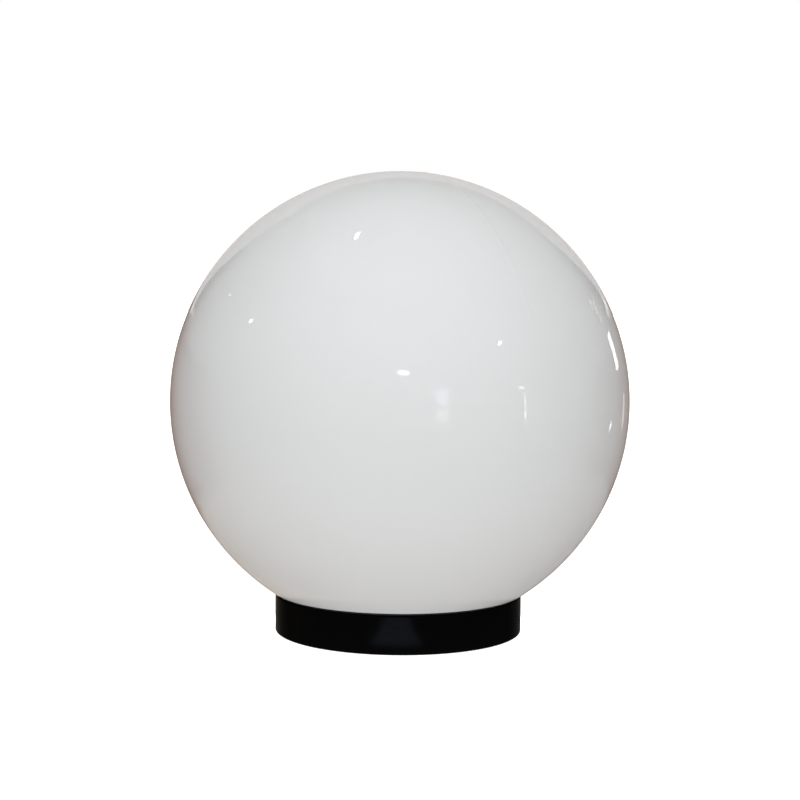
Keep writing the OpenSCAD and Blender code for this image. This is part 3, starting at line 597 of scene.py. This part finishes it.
def housing_side(inset):
    """The housing's curve from the cap up to the dome."""
    rise = JOINT_Z - cap_high.z
    start = Vector((HOUSING_FOOT_R, cap_high.z))
    bend = start + Vector((HOUSING_LEAN, HOUSING_PULL * rise))
    end = Vector((JOINT_R, JOINT_Z))
    hip = end - HOUSING_PULL * rise * Vector((JOINT_DROP, JOINT_R)).normalized()
    side = []
    for i in range(HOUSING_STEPS + 1):
        t = i / HOUSING_STEPS
        u = 1 - t
        point = u ** 3 * start + 3 * u * u * t * bend + 3 * u * t * t * hip + t ** 3 * end
        side.append((point.x - inset, point.y))
    return side


def housing_profile():
    spigot_out, spigot_in, spigot_z = SPIGOT
    ledge_in, ledge_h = BOARD_LEDGE
    board_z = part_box("led_board")[0].z
    ledge_z = board_z - ledge_h
    floor_z = cap_high.z + LAMP_WALL
    outside = housing_side(0)[:-1]
    lip = arc((JOINT_R - JOINT_ROUND, JOINT_Z - JOINT_ROUND), JOINT_ROUND, 20, 90, steps=3)
    inside = [point for point in reversed(housing_side(LAMP_WALL)) if point[1] > floor_z]
    above = [point for point in inside if point[1] > board_z + LEDGE_CLEAR]
    below = [point for point in inside if point[1] < ledge_z - LEDGE_CLEAR]
    ledge = [(above[-1][0], board_z), (ledge_in, board_z), (ledge_in, ledge_z), (below[0][0], ledge_z)]
    spigot = [
        (below[-1][0], floor_z), (spigot_in, floor_z), (spigot_in, spigot_z), (spigot_out, spigot_z),
        (spigot_out, cap_high.z),
    ]
    return outside + lip + above + ledge + below + spigot


def dome_profile():
    inner_r = LAMP_R - DOME_WALL
    low = math.degrees(math.asin((dome_low.z - DOME_Z) / LAMP_R))
    low_in = math.degrees(math.asin((dome_low.z - DOME_Z) / inner_r))
    lip_r = LAMP_R * math.cos(math.radians(low)) - JOINT_ROUND
    outside = arc((0, DOME_Z), LAMP_R, 90, low + DOME_LIP_ANGLE, steps=48)
    lip = arc((lip_r, dome_low.z + JOINT_ROUND), JOINT_ROUND, -20, -90, steps=3)
    return outside + lip + arc((0, DOME_Z), inner_r, low_in, 90, steps=32)


MODELLED = {
    "lamp_cap": ("cap_thread", cap_profile()),
    "holder_shell": ("shell_thread", shell_profile()),
    "lamp_housing": ("lamp_neck", housing_profile()),
    "lamp_dome": ("lamp_bulb", dome_profile()),
}
for node, (name, profile) in MODELLED.items():
    stand_for(smooth(closed_revolve(name, profile, even_angles(LAMP_SIDES), SLOTS[node])), node)


# The leads, along the same points as the CAD's, in millimetres

LEAD_R = 1.2 * MM
LEAD_SIDES = 16
LEAD_STEPS = 12
LEAD_EDGE = 0.25 * MM
LEAD_CUT = 0.85
LEAD_SHARP = 50
STRIPES = 4
TERMINAL_AT = 29.725
HOLDER_ENTRY = 5
HOLDER_WIRE_Z = 19.5
BLOCK_WIRE_Z = 14.5
LEAD_START = (8.6, 13.6)


def polar(radius, degrees, z):
    a = math.radians(degrees)
    return radius * math.cos(a), radius * math.sin(a), z


def holder_end(degrees):
    radii = (TERMINAL_AT, TERMINAL_AT - HOLDER_ENTRY)
    return [polar(radius, degrees, HOLDER_WIRE_Z) for radius in radii]


def block_end(y):
    return [(x, y, BLOCK_WIRE_Z) for x in LEAD_START]


ROUTES = {
    "neutral_wire": [*block_end(33), (23, 32, 15.5), (29, 26, 17.5), *holder_end(35)],
    "live_wire": [
        *block_end(55), (25, 49, 14.5), (36, 39, 14.5), (45, 26, 15.5), (49, 9, 16.5), (47, -8, 17.5),
        (40, -18, 18.5), *holder_end(-35),
    ],
    "earth_wire": [
        *block_end(44), (24, 42, 14.5), (31, 36, 13.5), (34, 28, 12), (34, 19.5, 11.2), (34, 13.6, 11.2),
    ],
}


def smooth_path(points, steps):
    """A Catmull-Rom curve through the points."""
    last = len(points) - 1
    path = []
    for i in range(last):
        p, q, r, s = (points[min(max(i + k, 0), last)] for k in (-1, 0, 1, 2))
        for k in range(steps):
            t = k / steps
            path.append(0.5 * (2 * q + (r - p) * t + (2 * p - 5 * q + 4 * r - s) * t ** 2
                               + (3 * q - p - 3 * r + s) * t ** 3))
    return path + [points[last]]


def lead_spine(route):
    """Points of a lead's middle, each with its share of the radius, less at the cut ends."""
    path = smooth_path([Vector(point) * MM for point in route], LEAD_STEPS)
    last = len(path) - 1
    start = path[0] + LEAD_EDGE * (path[2] - path[0]).normalized()
    end = path[last] + LEAD_EDGE * (path[last - 2] - path[last]).normalized()
    middle = [(point, 1) for point in path[2:last - 1]]
    return [(path[0], LEAD_CUT), (start, 1), *middle, (end, 1), (path[last], LEAD_CUT)]


def lead(node, route, stripe=None):
    """A round lead; a stripe takes every other quarter of its surface, turning slowly."""
    spine = lead_spine(route)
    rows = len(spine)
    verts = []
    side = Vector((0, 0, 1))
    for i, (point, swell) in enumerate(spine):
        along = (spine[min(i + 1, rows - 1)][0] - spine[max(i - 1, 0)][0]).normalized()
        side = (side - side.dot(along) * along).normalized()
        across = along.cross(side)
        for a in even_angles(LEAD_SIDES):
            turned = a + (2 * math.pi * i / rows if stripe else 0)
            verts.append(point + LEAD_R * swell * (math.cos(turned) * side + math.sin(turned) * across))
    faces = []
    for i in range(0, (rows - 1) * LEAD_SIDES, LEAD_SIDES):
        for j in range(LEAD_SIDES):
            k = (j + 1) % LEAD_SIDES
            faces.append((i + j, i + LEAD_SIDES + j, i + LEAD_SIDES + k, i + k))
    faces += [tuple(range(LEAD_SIDES)), tuple((rows - 1) * LEAD_SIDES + j for j in range(LEAD_SIDES))]
    obj = new_object(f"{node}_insulation", verts, faces, SLOTS[node])
    if stripe:
        obj.data.materials.append(MATERIALS[stripe])
        for i, polygon in enumerate(obj.data.polygons):
            polygon.material_index = i % LEAD_SIDES * STRIPES // LEAD_SIDES % 2
    stand_for(smooth(obj, LEAD_SHARP), node)


for node, route in ROUTES.items():
    lead(node, route, "yellow_stripe" if node == "earth_wire" else None)


# The CAD nodes that stay in view get materials and rounded edges, by width in millimetres; at 0 an edge
# stays sharp, because rounding it would make faces cross

EDGES = {
    "holder_body": 0, "terminal_block": 0.05, "cord_clamp": 0.3, "holder_bracket": 0.25,
    "globe_seal": 0.35, "mounting_gasket": 0.3, "spring_clips": 0.12, "holder_terminals": 0,
    "led_board": 0.15, "driver_board": 0.15, "driver_chips": 0.15, "led_chips": 0.12,
    "driver_coil": 0.2, "driver_capacitor": 0.5, "clip_screws": 0.12, "bracket_screws": 0.12,
    "holder_screws": 0.12, "clamp_screws": 0.12, "earth_screw": 0.12, "terminal_screws": 0.15,
    "holder_terminal_screws": 0.15, "block_screw": 0.09, "shell_rivets": 0.2,
    "terminal_tubes": 0.12, "earth_ring": 0.1, "centre_contact": 0.1, "shell_contact": 0.1,
}
SCREW_STEEL = (
    "clip_screws", "bracket_screws", "clamp_screws", "holder_screws", "block_screw", "terminal_screws",
    "holder_terminal_screws",
)
SHARP_ANGLE = math.radians(35)
FLAT_ANGLE = math.radians(0.5)
WELD_DISTANCE = 1e-6


def shade_by_angle():
    """Node group that shades smooth, with sharp edges where faces meet at a wide angle."""
    group = bpy.data.node_groups.new("shade_by_angle", "GeometryNodeTree")
    group.interface.new_socket("Mesh", in_out="INPUT", socket_type="NodeSocketGeometry")
    group.interface.new_socket("Mesh", in_out="OUTPUT", socket_type="NodeSocketGeometry")
    start = group.nodes.new("NodeGroupInput")
    end = group.nodes.new("NodeGroupOutput")
    angle = group.nodes.new("GeometryNodeInputMeshEdgeAngle")
    wide = group.nodes.new("FunctionNodeCompare")
    wide.data_type = "FLOAT"
    wide.operation = "GREATER_THAN"
    wide.inputs[1].default_value = SHARP_ANGLE
    normal = group.nodes.new("GeometryNodeSetMeshNormal")
    normal.mode = "SHARPNESS"
    normal.inputs["Remove Custom"].default_value = True
    group.links.new(start.outputs[0], normal.inputs[0])
    group.links.new(angle.outputs["Unsigned Angle"], wide.inputs[0])
    group.links.new(wide.outputs[0], normal.inputs["Edge Sharpness"])
    group.links.new(normal.outputs[0], end.inputs[0])
    return group


def soften(node, width, shading):
    """Joins the node's doubled corners, makes its flat faces whole and rounds its edges."""
    weld = node.modifiers.new("weld", "WELD")
    weld.merge_threshold = WELD_DISTANCE
    whole = node.modifiers.new("whole", "DECIMATE")
    whole.decimate_type = "DISSOLVE"
    whole.angle_limit = FLAT_ANGLE
    shade = node.modifiers.new("shade", "NODES")
    shade.node_group = shading
    if not width:
        return
    bevel = node.modifiers.new("bevel", "BEVEL")
    bevel.width = width
    bevel.segments = 2
    bevel.limit_method = "ANGLE"
    bevel.angle_limit = SHARP_ANGLE
    bevel.loop_slide = False
    bevel.use_clamp_overlap = False
    bevel.harden_normals = True


def finish_nodes():
    shading = shade_by_angle()
    for name, node in frame["nodes"].items():
        if name in REPLACED:
            continue
        paint = "screw_steel" if name in SCREW_STEEL else SLOTS[name]
        node.data.materials.clear()
        node.data.materials.append(MATERIALS[paint])
        if name in EDGES:
            soften(node, EDGES[name] * MM, shading)


finish_nodes()


# World and floor

WHITE = (1, 1, 1, 1)
CENTRE = Vector((0, 0, GLOBE_Z))


def empty_tree(owner):
    owner.use_nodes = True
    owner.node_tree.nodes.clear()
    return owner.node_tree


def seen_directly(tree):
    """1 for camera, glossy and transmitted rays, 0 for the rest."""
    path = tree.nodes.new("ShaderNodeLightPath")
    total = path.outputs["Is Camera Ray"]
    for name in ("Is Glossy Ray", "Is Transmission Ray"):
        top = tree.nodes.new("ShaderNodeMath")
        top.operation = "MAXIMUM"
        tree.links.new(total, top.inputs[0])
        tree.links.new(path.outputs[name], top.inputs[1])
        total = top.outputs[0]
    return total


def mix_shaders(tree, factor, first, second, output_kind):
    """Sends the blend of two shader nodes to a new output node."""
    mix = tree.nodes.new("ShaderNodeMixShader")
    output = tree.nodes.new(output_kind)
    tree.links.new(factor, mix.inputs[0])
    tree.links.new(first.outputs[0], mix.inputs[1])
    tree.links.new(second.outputs[0], mix.inputs[2])
    tree.links.new(mix.outputs[0], output.inputs["Surface"])


def add_world(color, strength):
    """Even light from all round, behind which the background is white."""
    world = bpy.data.worlds.new("world")
    bpy.context.scene.world = world
    tree = empty_tree(world)
    white = tree.nodes.new("ShaderNodeBackground")
    light = tree.nodes.new("ShaderNodeBackground")
    set_input(white, "Color", WHITE)
    set_input(white, "Strength", 1)
    set_input(light, "Color", (*color, 1))
    set_input(light, "Strength", strength)
    mix_shaders(tree, seen_directly(tree), light, white, "ShaderNodeOutputWorld")


def add_floor(size, drop, color, glow, table_light):
    """A pale floor that keeps the object's shadow, and glows enough to meet the white background."""
    verts = [(x * size, y * size, -drop) for x, y in ((-1, -1), (1, -1), (1, 1), (-1, 1))]
    floor = new_object("floor", verts, [(0, 1, 2, 3)])
    material = bpy.data.materials.new("floor")
    tree = empty_tree(material)
    diffuse = tree.nodes.new("ShaderNodeBsdfDiffuse")
    emission = tree.nodes.new("ShaderNodeEmission")
    strength = tree.nodes.new("ShaderNodeMath")
    strength.operation = "MULTIPLY_ADD"
    strength.inputs[1].default_value = glow - table_light
    strength.inputs[2].default_value = table_light
    add = tree.nodes.new("ShaderNodeAddShader")
    output = tree.nodes.new("ShaderNodeOutputMaterial")
    set_input(diffuse, "Color", (*color, 1))
    tree.links.new(seen_directly(tree), strength.inputs[0])
    tree.links.new(strength.outputs[0], emission.inputs["Strength"])
    tree.links.new(diffuse.outputs[0], add.inputs[0])
    tree.links.new(emission.outputs[0], add.inputs[1])
    tree.links.new(add.outputs[0], output.inputs["Surface"])
    floor.data.materials.append(material)


# Lights, and the things of the room that only gloss sees. Places are given from the ball's middle as
# azimuth and elevation in degrees: azimuth 0 is the front and 90 the right

NEAR_DISTANCE = 0.45
ROOM_DISTANCE = 2.4
TABLE_R = BASE_R + 0.1 * MM
PATCH_Z = 0.002
ROUND_CARD_ROWS = 49
TABLE_CARD_GRID = (61, 13)
PANEL = (
    (-0.70, 0.001), (-0.76, 0.41), (-0.84, 0.56), (-0.93, 0.72), (-1.0, 0.97), (-0.97, 1.15),
    (-0.80, 1.34), (-0.33, 1.18), (0, 1.08), (0.27, 1.03), (0.58, 1.02), (0.86, 1.0), (0.91, 0.91),
    (0.88, 0.66), (0.80, 0.50), (0.75, 0.42), (0.70, 0.001),
)
PLAIN = (1, 1, 1)
COOL = (0.93, 0.97, 1.0)
WARM = (1.0, 0.86, 0.74)


def direction(azimuth, elevation):
    a, e = math.radians(azimuth), math.radians(elevation)
    return Vector((math.sin(a) * math.cos(e), -math.cos(a) * math.cos(e), math.sin(e)))


def area_light(name, place, size, watts, color, turn=0):
    data = bpy.data.lights.new(name, "AREA")
    data.shape = "RECTANGLE"
    data.size, data.size_y = size
    data.color = color
    data.energy = watts
    light = bpy.data.objects.new(name, data)
    bpy.context.collection.objects.link(light)
    light.matrix_world = look_at(place, CENTRE, math.radians(turn))
    light.visible_camera = False
    return light


def softbox(name, at, distance, size, level, color=PLAIN):
    """Lights a white surface that faces it at the ball to level, and isn't seen in gloss."""
    place = CENTRE + distance * direction(*at)
    light = area_light(name, place, size, level * (math.pi * distance) ** 2, color)
    light.visible_glossy = False


def glint(name, at, span, level, color=PLAIN, turn=0, distance=ROOM_DISTANCE):
    """A small bright thing in the room that only gloss sees; span is its size in degrees."""
    size = [2 * distance * math.tan(math.radians(side / 2)) for side in span]
    place = CENTRE + distance * direction(*at)
    light = area_light(name, place, size, level * math.pi * size[0] * size[1], color, turn)
    light.visible_diffuse = False


def near_glint(name, at, span, level, color=WARM, turn=0):
    """A glint in front of the dim bands."""
    glint(name, at, span, level, color, turn, NEAR_DISTANCE)


def patch_on_base(name, x, y, size, level, color):
    """A lit patch of the table that only the base mirrors."""
    place = Vector((x, y, PATCH_Z))
    light = area_light(name, place, size, level * math.pi * size[0] * size[1], color)
    light.matrix_world = Matrix.Translation(place) @ Matrix.Rotation(math.pi, 4, "X")
    light.visible_diffuse = False
    only = bpy.data.collections.new(f"{name}_on")
    only.objects.link(frame["nodes"]["base_housing"])
    light.light_linking.receiver_collection = only


def gloss_card(name, verts, faces, shown, level, color):
    """A glowing card that only gloss sees, with shown as its cover at each corner."""
    card = new_object(name, verts, faces)
    attribute = card.data.attributes.new("shown", "FLOAT", "POINT")
    attribute.data.foreach_set("value", shown)
    material = bpy.data.materials.new(name)
    tree = empty_tree(material)
    clear = tree.nodes.new("ShaderNodeBsdfTransparent")
    glow = tree.nodes.new("ShaderNodeEmission")
    amount = tree.nodes.new("ShaderNodeAttribute")
    amount.attribute_name = "shown"
    set_input(glow, "Color", (*color, 1))
    set_input(glow, "Strength", level)
    mix_shaders(tree, amount.outputs["Fac"], clear, glow, "ShaderNodeOutputMaterial")
    card.data.materials.append(material)
    card.visible_camera = False
    card.visible_diffuse = False
    card.visible_transmission = False
    card.visible_shadow = False
    return card


def flat_card(name, verts, level, color):
    """A card of one face."""
    gloss_card(name, verts, [tuple(range(len(verts)))], [1] * len(verts), level, color)


def pane(name, corners, level, color):
    """A window pane in the room, its corners given as azimuth and elevation."""
    flat_card(name, [CENTRE + ROOM_DISTANCE * direction(*corner) for corner in corners], level, color)


def panel_card(name, y, outline, level, color):
    """An upright card behind the object, its outline given as x and height."""
    flat_card(name, [(x, y, z) for x, z in outline], level, color)


def ceiling_card(name, half, height, level, color):
    """A level card high over the object."""
    corners = ((-half, -half), (half, -half), (half, half), (-half, half))
    flat_card(name, [(x, y, height) for x, y in corners], level, color)


def fade_in(value, low, high, fade):
    """0 at low and high, 1 from fade inside them."""
    return min(1, (value - low) / fade, (high - value) / fade) if fade else 1


def round_card(name, span, radius, heights, level, color, fade=0):
    """A curved upright card round the object, over a span of azimuths, faded at its sides."""
    verts, shown = [], []
    for i in range(ROUND_CARD_ROWS):
        azimuth = span[0] + (span[1] - span[0]) * i / (ROUND_CARD_ROWS - 1)
        side = direction(azimuth, 0) * radius
        verts += [(side.x, side.y, height) for height in heights]
        shown += [fade_in(azimuth, *span, fade)] * 2
    gloss_card(name, verts, grid_faces(ROUND_CARD_ROWS, 2), shown, level, color)


def table_card(name, span, radii, height, level, color, fade=0, inner_fade=0):
    """A card on the floor, over a span of azimuths, faded at its sides and towards its middle."""
    rows, columns = TABLE_CARD_GRID
    inner, outer = radii
    verts, shown = [], []
    for i in range(rows):
        azimuth = span[0] + (span[1] - span[0]) * i / (rows - 1)
        for j in range(columns):
            radius = inner + (outer - inner) * j / (columns - 1)
            side = direction(azimuth, 0) * radius
            verts.append((side.x, side.y, height))
            cover = fade_in(azimuth, *span, fade)
            if inner_fade:
                cover *= min(1, (radius - inner) / inner_fade)
            shown.append(cover)
    return gloss_card(name, verts, grid_faces(rows, columns), shown, level, color)


add_world((0.97, 0.99, 1.0), 0.39)
add_floor(size=12, drop=0.0003, color=(0.825, 0.78, 0.75), glow=0.77, table_light=0.035)
softbox("front", (0, 14), distance=2.6, size=(1.6, 1.2), level=0.434, color=(0.928, 0.99, 1.0))
softbox("top", (0, 80), distance=2.4, size=(1.4, 1.4), level=0.357, color=(1.0, 0.98, 0.965))
softbox("back", (180, 6), distance=2.6, size=(1.6, 1.2), level=0.24)

# The room that the ball mirrors, closed so that the white background stays out of its gloss: walls with
# two dim corners, a ceiling, the lit panel behind, dim bands low round the sides, and the table

ALL_ROUND = (-180, 180)
WALL_R = 3.0
ROOM_H = 4.5
CORNER_H = 1.6
BAND_R = 0.5
BAND_H = 0.225

round_card("walls", ALL_ROUND, WALL_R, (0, ROOM_H), level=0.37, color=(1.0, 0.87, 0.80))
for name, span, color in (
    ("corner_right", (139, 165), (1.0, 0.90, 0.85)), ("corner_left", (195, 221), (1.0, 0.85, 0.75)),
):
    round_card(name, span, WALL_R - 0.1, (0, CORNER_H), level=0.20, color=color, fade=7)
ceiling_card("ceiling", half=3.1, height=ROOM_H, level=0.48, color=(1.0, 0.92, 0.88))
panel_card("panel", y=1.5, outline=PANEL, level=0.68, color=(1.0, 0.94, 0.905))
round_card("dim_band_right", (80, 202), BAND_R, (0, BAND_H), level=0.24, color=(1.0, 0.68, 0.55), fade=22)
round_card("dim_band_left", (158, 280), BAND_R + 0.002, (0, BAND_H), level=0.20, color=(1.0, 0.42, 0.22),
           fade=22)
table_card("table", ALL_ROUND, (TABLE_R, WALL_R), height=0.0004, level=0.38, color=(1.0, 0.92, 0.90))
table_card("warm_table", (-175, -15), (TABLE_R, 0.55), height=0.0008, level=0.52,
           color=(1.0, 0.84, 0.68), fade=60)
table_card("dim_floor_right", (70, 210), (0.39, BAND_R), height=0.0012, level=0.21,
           color=(1.0, 0.60, 0.45), fade=30)
table_card("dim_floor_left", (150, 290), (0.27, BAND_R), height=0.0014, level=0.20,
           color=(1.0, 0.42, 0.22), fade=30, inner_fade=0.06)

# A bright ring of the table that lights the ball's underside and isn't mirrored, and a patch that is

foot_ring = table_card("foot_ring", ALL_ROUND, (TABLE_R, 0.095), height=0.002, level=1.5, color=PLAIN)
foot_ring.visible_diffuse = True
foot_ring.visible_glossy = False
patch_on_base("front_patch", x=-0.002, y=-0.17, size=(0.056, 0.14), level=4.0, color=(0.62, 0.78, 1.0))

# Lamps and windows in the room: name, place, size in degrees, level

glint("tube_lamp", (1.6, 19.7), (4.8, 2.0), 14, COOL)
glint("ceiling_lamp", (-111.8, 73.9), (4.8, 1.4), 14, COOL)
pane("window_high", ((15.8, 11.6), (22.7, 11.6), (22.9, 4.7), (17.9, 4.7)), 2.7, (0.82, 0.81, 1.0))
pane("window_low", ((17.6, 2.4), (22.9, 2.9), (22.8, -3.6), (16.5, -2.9)), 2.4, (1.0, 1.0, 0.95))
glint("far_window", (60.3, 9.0), (2.7, 1.2), 6.5, COOL, turn=-7)
glint("door_gap", (61.6, 3.8), (0.9, 6.0), 5)
glint("door_gap_low", (61.4, -1.9), (0.9, 2.8), 9)
glint("spot_right", (54.7, 28.9), (2.0, 1.8), 14, (1.0, 0.95, 0.97))
glint("spot_left", (-91.5, 27.7), (1.9, 1.3), 14, WARM, turn=20)
glint("spot_far_left", (-119.9, 25.4), (1.0, 0.8), 6, WARM)
glint("spot_low_left", (-67.5, 15.9), (0.8, 0.8), 3, WARM)
near_glint("warm_window", (123.6, 7.9), (4.6, 8.3), 3.4, (1.0, 0.90, 0.88))
near_glint("window_frame", (139.5, 11.9), (8.4, 1.6), 0.8)
near_glint("frame_high", (119.6, 21.3), (3.1, 0.8), 1.2, turn=38)
near_glint("frame_low", (122.3, 19.2), (4.0, 0.8), 1.3, turn=33)
near_glint("frame_foot", (122.0, 16.3), (2.2, 0.8), 1.1, turn=32)
near_glint("warm_streak", (129.3, -5.8), (3.0, 6.8), 0.8, turn=-10)
near_glint("warm_dot", (111.2, -8.1), (2.0, 1.5), 4.0, turn=37)
near_glint("warm_dot_low", (110.7, -9.5), (1.5, 0.6), 1.5)
near_glint("left_streak", (-137.5, 11.4), (13.0, 1.2), 0.38, turn=15)

bpy.context.scene.view_settings.view_transform = "Standard"
